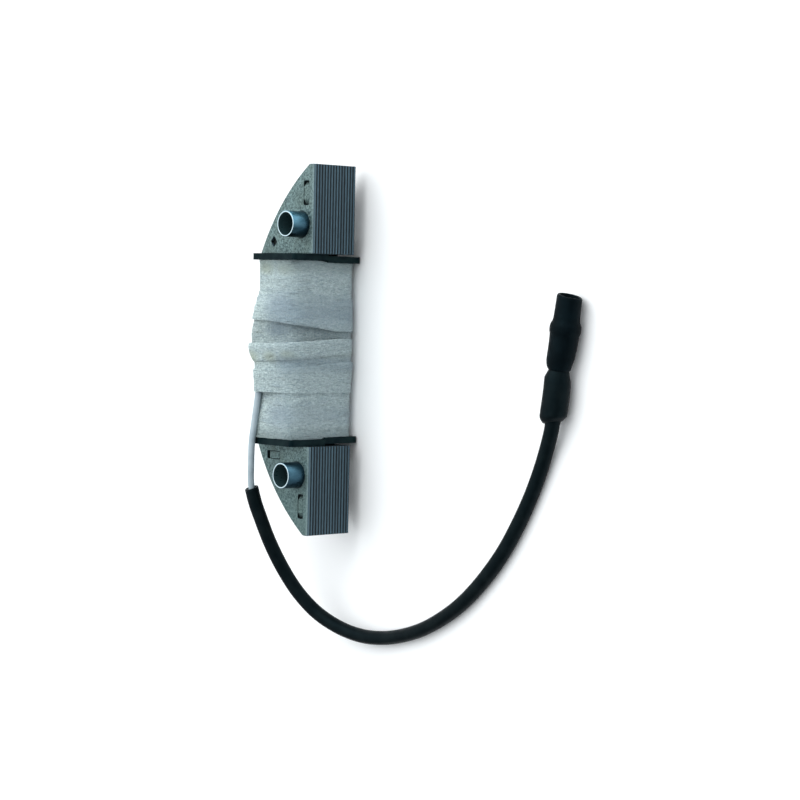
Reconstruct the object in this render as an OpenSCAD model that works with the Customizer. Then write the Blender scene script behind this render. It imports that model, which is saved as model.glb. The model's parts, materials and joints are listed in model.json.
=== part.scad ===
// Ignition coil of a small engine: a stack of D-shaped steel laminations with a taped winding
// on its waist, two mounting collars and a sleeved lead that ends in a bullet connector.
// Millimetres. +X runs along the core, +Z is the bolt axis and points out of the collars,
// and the straight edge of the core faces -Y. The origin is midway between the two bolt
// holes, in the plane of the collars' free ends.

/* [Core] */
// Length of the core, tip to tip
core_len = 102; // [100:0.5:106]
// Radius of the curved pole faces
pole_r = 62.4; // [61:0.1:64]
// Depth of the core at its two tips
tip_depth = 2.1; // [1.5:0.1:3]
// Number of laminations
lam_count = 15; // [9:1:15]
// Thickness of one lamination
lam_t = 1; // [0.8:0.05:1]
// Distance from the middle to the shoulder of each pole
shoulder_x = 26.5; // [26.5:0.1:27]
// Width of the waist that carries the winding
waist_w = 9.5; // [8:0.1:10]
// Distance from the straight edge to the middle of the waist
waist_y = 11.55; // [11.4:0.05:11.7]

/* [Interlocks] */
// Length of an interlock near a tip
lock_len = 6.6; // [5:0.1:6.6]
// Width of one interlock
lock_w = 2; // [1.5:0.1:2]
// Height of the bump that locks into the next lamination
lock_rise = 0.9; // [0.5:0.05:0.9]
// Distance from the middle to the interlocks near the tips
tip_lock_x = 43.1; // [43:0.1:43.5]
// Distance from the straight edge to those interlocks
tip_lock_y = 3.2; // [2.5:0.1:3.4]
// Length of the interlock near the lower shoulder
root_lock_len = 5.6; // [5:0.1:6.6]
// Distance from the middle to that interlock
root_lock_x = 29.6; // [28.5:0.1:29.6]
// Distance from the straight edge to that interlock
root_lock_y = 15.3; // [14:0.1:15.5]

/* [Diamond mark] */
// Length of the mark stamped in the upper pole, along the core
mark_len = 3.2; // [2.8:0.1:3.4]
// Width of the mark
mark_w = 2.8; // [2.4:0.1:3]
// Distance from the middle to the mark
mark_x = 29.8; // [29.4:0.1:30]
// Distance from the straight edge to the mark
mark_y = 17; // [16.5:0.1:17]

/* [Mounting collars] */
// Distance between the two bolt holes
bolt_pitch = 69; // [68.6:0.1:69.4]
// Distance from the straight edge to the bolt holes
bolt_inset = 5.25; // [5.25:0.05:6]
// Inner diameter of a collar
collar_id = 6.3; // [5.5:0.1:6.4]
// Outer diameter of a collar
collar_od = 7.2; // [7:0.1:7.4]
// Height that a collar stands out of the core
collar_rise = 5.5; // [5.2:0.1:7]

/* [Bobbin] */
// Width of a flange, across the straight edge
flange_w = 18.9; // [18.7:0.1:19.5]
// Height of a flange, along the bolt axis
flange_h = 24.2; // [23.9:0.1:25]
// Thickness of a flange
flange_t = 1.8; // [1.2:0.1:1.8]
// Corner radius of a flange
flange_r = 1.2; // [0.5:0.1:2]
// Wall of the bobbin around the waist
bobbin_wall = 1; // [0.7:0.1:1]
// Step between the flanges of the two halves
half_step = 0.5; // [0.2:0.1:0.6]

/* [Winding and tape] */
// Width of the taped winding
tape_w = 17.5; // [17:0.1:17.6]
// Height of the taped winding
tape_h = 23; // [22.5:0.1:23.1]
// Corner radius of the taped winding
tape_r = 4; // [3:0.1:5]
// Thickness of the base wrap
base_t = 0.7; // [0.3:0.1:1]
// Thickness of the outer wraps
wrap_t = 0.3; // [0.2:0.05:0.4]
// Length of the winding between the flanges
winding_len = 48.2; // [46:0.1:48.2]

/* [Lead] */
// Diameter of the white lead wire
wire_d = 1.8; // [1.4:0.1:1.8]
// Diameter of its copper conductor
conductor_d = 0.9; // [0.6:0.1:0.9]
// Outer diameter of the black sleeve
sleeve_d = 3.8; // [3.4:0.1:3.8]
// Inner diameter of the black sleeve
sleeve_bore = 2.6; // [2.4:0.1:2.8]

/* [Connector] */
// Length of the boot, mouth to neck
boot_len = 19.6; // [19:0.1:21]
// Diameter of the boot's mouth
mouth_d = 6.5; // [6.2:0.1:7]
// Diameter of the rib around the boot
rib_d = 8; // [7.6:0.1:8]
// Diameter of the boot's neck
neck_d = 5.5; // [5:0.1:5.8]
// Length of the crimp cover behind the boot
cover_len = 12.6; // [11:0.1:12.6]
// Diameter of the crimp cover
cover_d = 7.1; // [6.6:0.1:7.4]
// Bore of the bullet receptacle
socket_d = 3.9; // [3.5:0.1:3.9]
// Outer diameter of the bullet receptacle
socket_od = 5; // [4.6:0.1:5]

/* [Hidden] */
$fn = 96;
lam_names = [for (k = [1:lam_count]) str("lamination_", k < 10 ? "0" : "", k)];

eps = 0.01;
stack_t = lam_count * lam_t;
front_z = -collar_rise;              // front face of the core
back_z = front_z - stack_t;          // back face of the core
mid_z = front_z - stack_t / 2;
edge_y = -bolt_inset;                // straight edge of the core
mid_y = edge_y + waist_y;            // middle of the waist and of the winding
half_len = core_len / 2;
arc_y = edge_y + tip_depth - sqrt(pole_r * pole_r - half_len * half_len);
lock_gap = 0.05;                     // clearance around an interlock bump
lock_top = 0.55;                     // share of a bump's length that is flat on top
window_w = lock_w + 0.3;             // width of the front lamination's windows
bobbin_w = waist_w + 2 * bobbin_wall;
bobbin_h = stack_t + 2 * bobbin_wall;
winding_w = tape_w - 2 * base_t;
winding_h = tape_h - 2 * base_t;

// Ends of the outer wraps along X, from the upper flange to the lower one
wrap_ends = [14, 4, -4.5, -12];
// Place of the splice, under the front corner of the tape on the curved side
splice_y = 11;
splice_z = -0.45;
splice_r = 1;
splice_x = 4.5;
splice_len = 7.5;

// Place and direction of the connector: its mouth, and the turn of its axis about Z
mouth = [17, -87.4, -21.1];
connector_turn = 171.36;

// Route of the lead wire's centre line, from the splice to the crimp in the connector
lead_route = [
    [4.5, 11, -0.5],
    [-12, 11, -0.5],
    [-17, 11.4, -0.1],
    [-21.5, 11.9, 0.2],
    [-25.5, 12.5, 0.3],
    [-29.5, 13.1, 0],
    [-33.5, 13.6, -0.4],
    [-36.5, 14.2, -0.9],
    [-39, 14.5, -1.4],
    [-43, 14.2, -2.5],
    [-47.5, 13.5, -4],
    [-55, 12.6, -7.1],
    [-62, 11.3, -10.6],
    [-68.5, 8.7, -14],
    [-74, 4.2, -17.2],
    [-77.7, -2.5, -19.9],
    [-79.3, -10, -21.7],
    [-79, -18, -22.8],
    [-77.3, -26, -23.2],
    [-74.7, -33.5, -23.2],
    [-71.2, -40.5, -23.2],
    [-66.9, -47.3, -23.2],
    [-61.8, -53.5, -23.2],
    [-56, -59.3, -23.2],
    [-50, -64.3, -23.2],
    [-43.3, -68.8, -23.2],
    [-36.5, -72.7, -23.2],
    [-29.3, -76.3, -23],
    [-22, -79.6, -22.4],
    [-17.5, -81.7, -21.6],
    [-14, -82.7, -21.1],
    [-10, -83.3, -21.1],
    [-4, -84.2, -21.1]];
// Stretch of the route that the black sleeve covers, as places in the list above
sleeve_from = 8;
sleeve_to = 31;

// ---------- shapes that repeat ----------

// Rectangle with round corners, about its centre
module rounded(w, h, r) {
    square([w - 2 * r, h], center = true);
    square([w, h - 2 * r], center = true);
    for (sx = [-1, 1], sy = [-1, 1])
        translate([sx * (w / 2 - r), sy * (h / 2 - r)])
            circle(r);
}

// Runs a Y-Z outline along X between two places
module along_x(x0, x1) {
    translate([x0, mid_y, mid_z])
        rotate([90, 0, 90])
            linear_extrude(x1 - x0)
                children();
}

// Places a turned part on the connector's axis, with its local Z from the mouth to the cord
module on_connector() {
    translate(mouth)
        rotate([0, 90, connector_turn])
            children();
}

// ---------- core ----------

// Pole at the +X end, from its shoulder to its tip
module pole_outline() {
    intersection() {
        translate([0, arc_y])
            circle(pole_r, $fn = 256);
        translate([shoulder_x, edge_y])
            square([half_len - shoulder_x, pole_r]);
    }
}

module lamination_outline() {
    difference() {
        union() {
            pole_outline();
            mirror([1, 0])
                pole_outline();
            translate([-shoulder_x - eps, mid_y - waist_w / 2])
                square([2 * (shoulder_x + eps), waist_w]);
        }
        for (sx = [-1, 1])
            translate([sx * bolt_pitch / 2, 0])
                circle(d = collar_od);
    }
}

// Places of the three interlocks: X, distance from the straight edge, turn and length
locks = [
    [tip_lock_x, tip_lock_y, 0, lock_len],
    [-tip_lock_x, tip_lock_y, 0, lock_len],
    [-root_lock_x, root_lock_y, 90, root_lock_len]];

// Bumps of the interlocks, rising from z = 0
module lock_bumps(grow) {
    for (lock = locks) {
        foot = lock[3] / 2 + grow;
        top = lock_top * lock[3] / 2 + grow;
        translate([lock[0], edge_y + lock[1]])
            rotate([90, 0, lock[2]])
                linear_extrude(lock_w + 2 * grow, center = true)
                    polygon([
                        [-foot, -eps],
                        [foot, -eps],
                        [top, lock_rise + grow],
                        [-top, lock_rise + grow]]);
    }
}

// Windows of the front lamination, over the bumps of the one behind
module lock_windows() {
    for (lock = locks)
        translate([lock[0], edge_y + lock[1]])
            rotate(lock[2])
                square([lock[3] + 2 * lock_gap, window_w], center = true);
}

module diamond_mark() {
    translate([mark_x, edge_y + mark_y])
        polygon([
            [mark_len / 2, 0],
            [0, mark_w / 2],
            [-mark_len / 2, 0],
            [0, -mark_w / 2]]);
}

// Lamination k, counted from the back. The front one has windows in place of bumps.
module lamination(k) {
    is_front = k == lam_count;
    color("slategray")
        translate([0, 0, back_z + (k - 1) * lam_t])
            difference() {
                union() {
                    linear_extrude(lam_t)
                        lamination_outline();
                    if (!is_front)
                        translate([0, 0, lam_t])
                            lock_bumps(0);
                }
                if (is_front)
                    translate([0, 0, -eps])
                        linear_extrude(lam_t + 2 * eps) {
                            lock_windows();
                            diamond_mark();
                        }
                if (!is_front)
                    lock_bumps(lock_gap);
            }
}

// ---------- collars ----------

// Rolled collar through the stack, with a small chamfer at its free end
module collar(x) {
    chamfer = 0.15;
    inner = collar_id / 2;
    outer = collar_od / 2;
    color("lightsteelblue")
        translate([x, 0, back_z])
            rotate_extrude()
                polygon([
                    [inner, 0],
                    [outer, 0],
                    [outer, -back_z - chamfer],
                    [outer - chamfer, -back_z],
                    [inner, -back_z]]);
}

module mounting_collar_upper() {
    collar(bolt_pitch / 2);
}

module mounting_collar_lower() {
    collar(-bolt_pitch / 2);
}

// ---------- bobbin ----------

// One half of the bobbin. side is 1 for the front half and -1 for the back half.
module bobbin_half(side, outer_x) {
    inner_x = outer_x - flange_t;
    difference() {
        union() {
            along_x(inner_x, outer_x)
                rounded(flange_w, flange_h, flange_r);
            along_x(-outer_x, -inner_x)
                rounded(flange_w, flange_h, flange_r);
            along_x(-outer_x, outer_x)
                square([bobbin_w, bobbin_h], center = true);
        }
        along_x(-outer_x - eps, outer_x + eps)
            square([waist_w, stack_t], center = true);
        translate([-half_len, mid_y - flange_w, side > 0 ? mid_z - flange_h : mid_z])
            cube([core_len, 2 * flange_w, flange_h]);
    }
}

module bobbin_front_half() {
    color("#20282c")
        bobbin_half(1, shoulder_x);
}

module bobbin_back_half() {
    color("#161d20")
        bobbin_half(-1, shoulder_x - half_step);
}

// ---------- winding and tape ----------

module winding_outline() {
    rounded(winding_w, winding_h, tape_r - base_t);
}

module base_outline() {
    rounded(tape_w, tape_h, tape_r);
}

module copper_winding() {
    color("#b0603a")
        along_x(-winding_len / 2, winding_len / 2)
            difference() {
                winding_outline();
                square([bobbin_w, bobbin_h], center = true);
            }
}

module tape_base_wrap() {
    color("#c4d4d4")
        along_x(-winding_len / 2, winding_len / 2)
            difference() {
                base_outline();
                winding_outline();
            }
}

// Outer wrap between two places along X, drawn tight over a round of radius r at height z
module outer_wrap(x0, x1, r, z) {
    spot = [splice_y - mid_y, z - mid_z];
    tunnel_gap = 0.15;
    along_x(x0, x1)
        difference() {
            hull() {
                offset(r = wrap_t, $fn = 48)
                    base_outline($fn = 48);
                translate(spot)
                    circle(r + tunnel_gap + wrap_t, $fn = 32);
            }
            base_outline($fn = 48);
            translate(spot)
                circle(r + tunnel_gap, $fn = 32);
        }
}

module tape_upper_wrap() {
    color("#d2e0df")
        outer_wrap(wrap_ends[1], wrap_ends[0], splice_r, splice_z);
}

module tape_middle_wrap() {
    color("#dde8e6")
        outer_wrap(wrap_ends[2], wrap_ends[1], wire_d / 2, lead_route[0].z);
}

module tape_lower_wrap() {
    color("#cbdad8")
        outer_wrap(wrap_ends[3], wrap_ends[2], wire_d / 2, lead_route[0].z);
}

// ---------- lead ----------

function unit(v) = v / norm(v);

// Direction of the route at point i
function heading(route, i) =
    unit(route[min(i + 1, len(route) - 1)] - route[max(i - 1, 0)]);

// Ring of points round point i of the route, square to its heading
function ring(route, i, r, sides) =
    let (t = heading(route, i), side = unit(cross(t, [0, 0, 1])), top = cross(side, t))
    [for (k = [0:sides - 1])
        route[i] + r * (cos(360 * k / sides) * side + sin(360 * k / sides) * top)];

// Triangles between two rings that start at a and b in the point list
function band(a, b, sides) =
    [for (k = [0:sides - 1])
        let (next = (k + 1) % sides)
        each [[a + k, a + next, b + next], [a + k, b + next, b + k]]];

tube_sides = 8;

// Solid tube along a route
module solid_tube(route, r) {
    n = len(route);
    s = tube_sides;
    points = [for (i = [0:n - 1]) each ring(route, i, r, s)];
    skin = [for (i = [0:n - 2]) each band(i * s, (i + 1) * s, s)];
    first = [[for (k = [s - 1:-1:0]) k]];
    last = [[for (k = [0:s - 1]) (n - 1) * s + k]];
    polyhedron(points, concat(skin, first, last));
}

// Hollow tube along a route: the outer rings, then the inner rings
module hollow_tube(route, r, bore_r) {
    n = len(route);
    s = tube_sides;
    half = n * s;
    points = [for (q = [r, bore_r]) each [for (i = [0:n - 1]) each ring(route, i, q, s)]];
    skin = [for (i = [0:n - 2]) each band(i * s, (i + 1) * s, s)];
    bore = [for (i = [0:n - 2]) each band(half + (i + 1) * s, half + i * s, s)];
    first = band(half, 0, s);
    last = band((n - 1) * s, half + (n - 1) * s, s);
    polyhedron(points, concat(skin, bore, first, last));
}

module splice_joint() {
    color("#8d9092")
        translate([splice_x, splice_y, splice_z])
            rotate([0, 90, 0])
                cylinder(r = splice_r, h = splice_len);
}

module lead_wire() {
    color("gainsboro")
        solid_tube(lead_route, wire_d / 2);
}

module lead_sleeve() {
    stretch = [for (i = [sleeve_from:sleeve_to]) lead_route[i]];
    color("#13191b")
        hollow_tube(stretch, sleeve_d / 2, sleeve_bore / 2);
}

// ---------- connector ----------

wire_end_s = 21.24;                  // where the wire's insulation ends, from the mouth
conductor_end_s = 14;
socket_mouth_s = 1.5;
socket_end_s = 12.5;
barrel_end_s = 19;
barrel_r = 1.5;
boot_step_s = 13;                    // where the boot's bore narrows behind the socket

// Bare conductor in the crimp barrel
module lead_conductor() {
    color("#b8733f")
        on_connector()
            translate([0, 0, conductor_end_s])
                cylinder(d = conductor_d, h = wire_end_s - conductor_end_s);
}

// Short cover over the end of the sleeve and the crimp
module crimp_cover() {
    outer = cover_d / 2;
    bore = sleeve_d / 2 + lock_gap;
    end_s = boot_len + cover_len;
    color("#10171a")
        on_connector()
            rotate_extrude()
                polygon([
                    [bore, boot_len],
                    [outer - 0.55, boot_len],
                    [outer - 0.1, boot_len + 1.4],
                    [outer, boot_len + 3],
                    [outer, end_s - 1.3],
                    [outer - 0.6, end_s],
                    [bore + 0.25, end_s],
                    [bore, end_s - 1.3]]);
}

// Rubber boot with an open mouth, a rib round it and a narrow neck
module connector_boot() {
    bore = socket_od / 2;
    tail_bore = barrel_r;
    color("#0d1417")
        on_connector()
            rotate_extrude()
                polygon([
                    [bore, 0],
                    [mouth_d / 2, 0],
                    [mouth_d / 2 + 0.1, 6.4],
                    [rib_d / 2 - 0.1, 7.5],
                    [rib_d / 2, 8],
                    [rib_d / 2, 9],
                    [rib_d / 2 - 0.3, 10],
                    [rib_d / 2 - 0.38, 14.5],
                    [rib_d / 2 - 0.6, 17.4],
                    [neck_d / 2 + 0.3, 18.8],
                    [neck_d / 2, boot_len],
                    [tail_bore, boot_len],
                    [tail_bore, boot_step_s],
                    [bore, boot_step_s]]);
}

// Split brass socket with a crimp barrel behind it
module bullet_receptacle() {
    slit = 0.5;
    color("#b59a4a")
        on_connector()
            difference() {
                union() {
                    translate([0, 0, socket_mouth_s])
                        cylinder(d = socket_od, h = socket_end_s - socket_mouth_s);
                    translate([0, 0, socket_end_s - eps])
                        cylinder(r = barrel_r, h = barrel_end_s - socket_end_s + eps);
                }
                translate([0, 0, socket_mouth_s - eps])
                    cylinder(d = socket_d, h = socket_end_s - socket_mouth_s - 0.6);
                translate([0, 0, socket_mouth_s])
                    cylinder(d = conductor_d + 2 * lock_gap, h = barrel_end_s);
                translate([-socket_od, -slit / 2, socket_mouth_s - eps])
                    cube([socket_od, slit, socket_end_s - socket_mouth_s - 1]);
            }
}

// ---------- assembly ----------

for (k = [1:lam_count])
    lamination(k);
bobbin_front_half();
bobbin_back_half();
copper_winding();
tape_base_wrap();
tape_upper_wrap();
tape_middle_wrap();
tape_lower_wrap();
mounting_collar_upper();
mounting_collar_lower();
splice_joint();
lead_wire();
lead_sleeve();
lead_conductor();
crimp_cover();
connector_boot();
bullet_receptacle();
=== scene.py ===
import json
import math

import bpy
import numpy as np
from mathutils import Matrix, Vector, noise


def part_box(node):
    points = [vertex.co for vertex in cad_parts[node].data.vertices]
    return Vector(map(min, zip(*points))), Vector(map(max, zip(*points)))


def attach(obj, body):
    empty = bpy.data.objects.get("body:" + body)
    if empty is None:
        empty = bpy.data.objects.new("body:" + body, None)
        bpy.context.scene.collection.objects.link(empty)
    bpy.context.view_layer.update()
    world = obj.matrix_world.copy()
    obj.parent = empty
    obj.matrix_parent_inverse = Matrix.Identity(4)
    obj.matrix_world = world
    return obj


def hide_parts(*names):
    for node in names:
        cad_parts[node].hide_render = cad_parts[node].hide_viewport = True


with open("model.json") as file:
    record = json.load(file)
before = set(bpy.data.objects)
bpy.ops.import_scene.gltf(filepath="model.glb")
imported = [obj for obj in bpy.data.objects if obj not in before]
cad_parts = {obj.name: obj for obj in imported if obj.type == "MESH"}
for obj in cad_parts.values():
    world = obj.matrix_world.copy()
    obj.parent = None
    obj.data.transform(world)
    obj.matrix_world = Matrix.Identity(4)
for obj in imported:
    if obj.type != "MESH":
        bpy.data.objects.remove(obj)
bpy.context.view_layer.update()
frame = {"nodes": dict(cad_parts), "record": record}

MM = 0.001
LYING_ON_TABLE = ("bobbin_front_half", "bobbin_back_half", "connector_boot", "lead_sleeve")
TABLE_Z = min(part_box(name)[0][2] for name in LYING_ON_TABLE)


# ---------------------------------------------------------------- camera

CAMERA_PLACE = Vector((0.01545, -0.46309, 0.37519))
CAMERA_AIM = Vector((-0.0113, -0.0482, 0.0))
CAMERA_UP = Vector((0.9986, 0.05, -0.016))
CAMERA_LENS = 97.88


def aimed(place, aim, up):
    """The matrix of a camera or lamp at place that looks at aim, with up towards the top."""
    back = (place - aim).normalized()
    right = up.cross(back).normalized()
    top = back.cross(right)
    turn = Matrix((right, top, back)).transposed().to_4x4()
    return Matrix.Translation(place) @ turn


camera = bpy.data.objects.new("camera", bpy.data.cameras.new("camera"))
bpy.context.scene.collection.objects.link(camera)
camera.data.lens = CAMERA_LENS
camera.data.sensor_width = 36.0
camera.data.clip_start = 0.02
camera.data.clip_end = 20.0
camera.matrix_world = aimed(CAMERA_PLACE, CAMERA_AIM, CAMERA_UP)
bpy.context.scene.camera = camera
bpy.context.scene.view_settings.view_transform = "Standard"


# ---------------------------------------------------------------- building finishes


class Finish:
    """A Principled material with the texture nodes that feed it, all in object millimetres."""

    def __init__(self, name, colour, roughness, metallic=0.0, **sockets):
        self.made = bpy.data.materials.new(name)
        self.made.use_nodes = True
        self.tree = self.made.node_tree
        self.shader = self.tree.nodes["Principled BSDF"]
        self.shader.inputs["Base Color"].default_value = (*colour, 1.0)
        self.shader.inputs["Roughness"].default_value = roughness
        self.shader.inputs["Metallic"].default_value = metallic
        for socket, value in sockets.items():
            self.shader.inputs[socket.replace("_", " ")].default_value = value

    def node(self, kind, **settings):
        made = self.tree.nodes.new("ShaderNode" + kind)
        for name, value in settings.items():
            setattr(made, name, value)
        return made

    def feed(self, source, target):
        """Links an output to an input, or sets the input to a number or colour."""
        if isinstance(source, bpy.types.NodeSocket):
            self.tree.links.new(source, target)
        else:
            target.default_value = source

    def place(self, stretch=(1.0, 1.0, 1.0), turn=0.0):
        """Object coordinates in millimetres, stretched along the axes and turned about Z."""
        mapping = self.node("Mapping")
        mapping.inputs["Rotation"].default_value = (0.0, 0.0, turn)
        self.feed(self.node("TexCoord").outputs["Object"], mapping.inputs["Vector"])
        mapping.inputs["Scale"].default_value = [s / MM for s in stretch]
        return mapping.outputs["Vector"]

    def axes(self, vector):
        """The outputs X, Y and Z of a vector."""
        parts = self.node("SeparateXYZ")
        self.feed(vector, parts.inputs[0])
        return parts.outputs

    def normal_axes(self):
        return self.axes(self.node("TexCoord").outputs["Normal"])

    def math(self, operation, a, b=0.0):
        made = self.node("Math", operation=operation)
        self.feed(a, made.inputs[0])
        self.feed(b, made.inputs[1])
        return made.outputs[0]

    def distance(self, a, b):
        """The length of the flat vector (a, b)."""
        squares = self.math("ADD", self.math("MULTIPLY", a, a), self.math("MULTIPLY", b, b))
        return self.math("SQRT", squares)

    def noise(self, scale, detail=2.0, stretch=(1.0, 1.0, 1.0), rough=0.5, turn=0.0):
        made = self.node("TexNoise")
        self.feed(self.place(stretch, turn), made.inputs["Vector"])
        made.inputs["Scale"].default_value = scale
        made.inputs["Detail"].default_value = detail
        made.inputs["Roughness"].default_value = rough
        return made.outputs[0]

    def span(self, value, low, high, to_low=0.0, to_high=1.0):
        """Maps low..high to to_low..to_high, and holds it there outside."""
        made = self.node("MapRange")
        for source, target in zip((value, low, high, to_low, to_high), made.inputs):
            self.feed(source, target)
        return made.outputs[0]

    def blend(self, factor, a, b, mode="MIX"):
        """The colour a where factor is 0 and b where it is 1."""
        made = self.node("Mix", data_type="RGBA", blend_type=mode)
        self.feed(factor, made.inputs[0])
        self.feed(a if isinstance(a, bpy.types.NodeSocket) else (*a, 1.0), made.inputs[6])
        self.feed(b if isinstance(b, bpy.types.NodeSocket) else (*b, 1.0), made.inputs[7])
        return made.outputs[2]

    def colour(self, source):
        self.feed(source, self.shader.inputs["Base Color"])

    def roughness(self, source):
        self.feed(source, self.shader.inputs["Roughness"])

    def bump(self, *layers):
        """Stacks (height, depth in mm) layers of relief on the surface."""
        before = None
        for height, depth in layers:
            made = self.node("Bump")
            made.inputs["Strength"].default_value = 1.0
            made.inputs["Distance"].default_value = depth * MM
            self.feed(height, made.inputs["Height"])
            if before is not None:
                self.feed(before, made.inputs["Normal"])
            before = made.outputs[0]
        self.feed(before, self.shader.inputs["Normal"])


# ---------------------------------------------------------------- steel of the core

LAMINATIONS = [name for name in sorted(frame["nodes"]) if name.startswith("lamination_")]
SHEET_STEP = 1.0
CORE_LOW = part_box(LAMINATIONS[0])[0][2] / MM
CORE_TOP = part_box(LAMINATIONS[-1])[1][2] / MM
CORE_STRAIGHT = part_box(LAMINATIONS[-1])[0][1] / MM
CORE_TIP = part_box(LAMINATIONS[-1])[1][0] / MM
# The least share of a face's normal along Z that makes it a flat, and along Y or X that makes it a side
# or an end wall of an interlock
FLAT_SHARE = 0.7
SIDE_WALL_SHARE = 0.9
END_WALL_SHARE = 0.97
# X in mm where the oil near the lower tip starts, and where it is heaviest
OILY_FROM = -24.0
OILY_TO = -46.0
# Width in mm of the painted highlight on the flat along the straight edge
EDGE_HIGHLIGHT_WIDTH = 1.0
# As shares of a sheet's thickness: how much the bands on its edge waver, where the burr ends, and where
# the sheared band starts
EDGE_WAVER = 0.14
BURR_END = 0.18
SHEARED_START = 0.36
STEEL_PITS = (0.018, 0.042, 0.044)
STEEL_BARE = (0.225, 0.335, 0.335)
STEEL_VARNISHED = (0.10, 0.145, 0.125)
STEEL_OILY = (0.055, 0.105, 0.105)
STEEL_EDGE_HIGHLIGHT = (0.21, 0.295, 0.31)
STEEL_RECESS_SHADE = (0.01, 0.018, 0.018)
EDGE_BURR = (0.001, 0.005, 0.008)
EDGE_SHEARED = (0.066, 0.124, 0.162)
EDGE_STREAK = (0.022, 0.042, 0.055)
FRONT_EDGE_HIGHLIGHT = (0.11, 0.175, 0.21)
WINDOW_WALL_SHADE = (0.004, 0.009, 0.011)


def steel_face(f, place, grain):
    """The flat of a sheet: mottled, oily near the lower tip, with a painted highlight along the straight
    edge and painted shade in a recess.
    """
    face = f.blend(f.span(grain, 0.37, 0.63), STEEL_PITS, STEEL_BARE)
    face = f.blend(f.span(f.noise(0.22, 3.0), 0.4, 0.75, 0.0, 0.6), face, STEEL_VARNISHED)
    face = f.blend(f.span(place["X"], OILY_FROM, OILY_TO, 0.0, 0.5), face, STEEL_OILY)
    # Painted highlight: the flat lighter along the straight edge
    edge_highlight = f.span(place["Y"], CORE_STRAIGHT + EDGE_HIGHLIGHT_WIDTH, CORE_STRAIGHT + 0.3 * EDGE_HIGHLIGHT_WIDTH, 0.0, 0.5)
    face = f.blend(edge_highlight, face, STEEL_EDGE_HIGHLIGHT)
    # Painted shade: the flat darker where it lies below the front sheet, inside the interlocks' recesses
    at_front = f.span(place["Z"], CORE_TOP - SHEET_STEP, CORE_TOP - 0.3 * SHEET_STEP)
    return f.blend(at_front, STEEL_RECESS_SHADE, face)


def window_walls(f, normal, place):
    """1 on the interlocks' walls, which look along -Y or X like the straight side and the tips do; they take
    painted shade.
    """
    past_straight = f.math("GREATER_THAN", place["Y"], CORE_STRAIGHT + 1.0)
    looks_aside = f.math("LESS_THAN", normal["Y"], -SIDE_WALL_SHARE)
    short_of_tip = f.math("LESS_THAN", f.math("ABSOLUTE", place["X"]), CORE_TIP - 0.5)
    looks_along = f.math("GREATER_THAN", f.math("ABSOLUTE", normal["X"]), END_WALL_SHARE)
    side_wall = f.math("MULTIPLY", looks_aside, past_straight)
    return f.math("MAXIMUM", side_wall, f.math("MULTIPLY", looks_along, short_of_tip))


def steel_edge(f, normal, place):
    """The sheets' sheared edges: a bright band and a dark burr on each, no two sheets quite alike, with a
    painted highlight on the front sheet's edge and painted shade on the interlocks' walls.
    """
    level = f.math("SUBTRACT", place["Z"], CORE_LOW)
    waver = f.math("SUBTRACT", f.noise(0.5, 3.0, (1.0, 1.0, 3.0)), 0.5)
    across = f.math("FRACT", f.math("DIVIDE", level, SHEET_STEP))
    across = f.math("ADD", across, f.math("MULTIPLY", waver, EDGE_WAVER))
    sheared = f.span(f.math("PINGPONG", across, 0.5), BURR_END, SHEARED_START)
    edge = f.blend(sheared, EDGE_BURR, EDGE_SHEARED)
    streak = f.noise(1.6, 4.0, (0.35, 0.35, 4.0), 0.65)
    edge = f.blend(f.span(streak, 0.4, 0.7, 0.0, 0.6), edge, EDGE_STREAK)
    # Painted highlight: the front sheet's edge lighter
    front_sheet = f.math("GREATER_THAN", place["Z"], CORE_TOP - 0.93 * SHEET_STEP)
    edge = f.blend(f.math("MULTIPLY", front_sheet, 0.6), edge, FRONT_EDGE_HIGHLIGHT)
    # Painted shade on the interlocks' walls
    edge = f.blend(f.math("MULTIPLY", window_walls(f, normal, place), 0.9), edge, WINDOW_WALL_SHADE)
    tint = f.node("TexWhiteNoise", noise_dimensions="1D")
    f.feed(f.math("FLOOR", level), tint.inputs["W"])
    brightness = f.span(tint.outputs[0], 0.0, 1.0, 0.8, 1.15)
    shade = f.node("CombineColor")
    for target in shade.inputs[:3]:
        f.feed(brightness, target)
    return f.blend(1.0, edge, shade.outputs[0], "MULTIPLY")


def lamination_steel():
    """Rolled electrical steel, with the look of its flats and of its sheared edges."""
    f = Finish("lamination_steel", (0.2, 0.25, 0.26), 0.5, 0.55)
    normal = f.normal_axes()
    place = f.axes(f.place())
    grain = f.noise(1.9, 5.0, rough=0.72)
    is_flat = f.math("GREATER_THAN", f.math("ABSOLUTE", normal["Z"]), FLAT_SHARE)
    f.colour(f.blend(is_flat, steel_edge(f, normal, place), steel_face(f, place, grain)))
    f.roughness(f.span(grain, 0.2, 0.8, 0.42, 0.62))
    f.bump((f.noise(1.8, 5.0, rough=0.7), 0.09), (f.noise(0.35, 2.0), 0.12))
    return f.made


# ---------------------------------------------------------------- zinc plate of the collars

collar_low, collar_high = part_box("mounting_collar_upper")
BOLT_X = (collar_low[0] + collar_high[0]) / 2 / MM
BORE_RADIUS = 3.15
# In mm from the bolt's axis towards the upper tip: where the painted shade on the collar's side towards the
# lower tip starts, and where it is deepest
WALL_SHADE_FROM = 2.0
WALL_SHADE_TO = -1.4
# Z in mm where the shade next to the core starts, and where it is deepest
SHADE_FROM = -0.6
SHADE_TO = -4.6
ZINC_DULL = (0.05, 0.15, 0.21)
ZINC_BLUE = (0.20, 0.44, 0.58)
ZINC_WALL_SHADE = (0.008, 0.026, 0.036)
ZINC_SHADED = (0.014, 0.040, 0.062)
ZINC_LOWER_DARK = (0.03, 0.075, 0.11)
ZINC_RIM = (0.60, 0.76, 0.82)
ZINC_BORE = (0.022, 0.052, 0.058)


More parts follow.
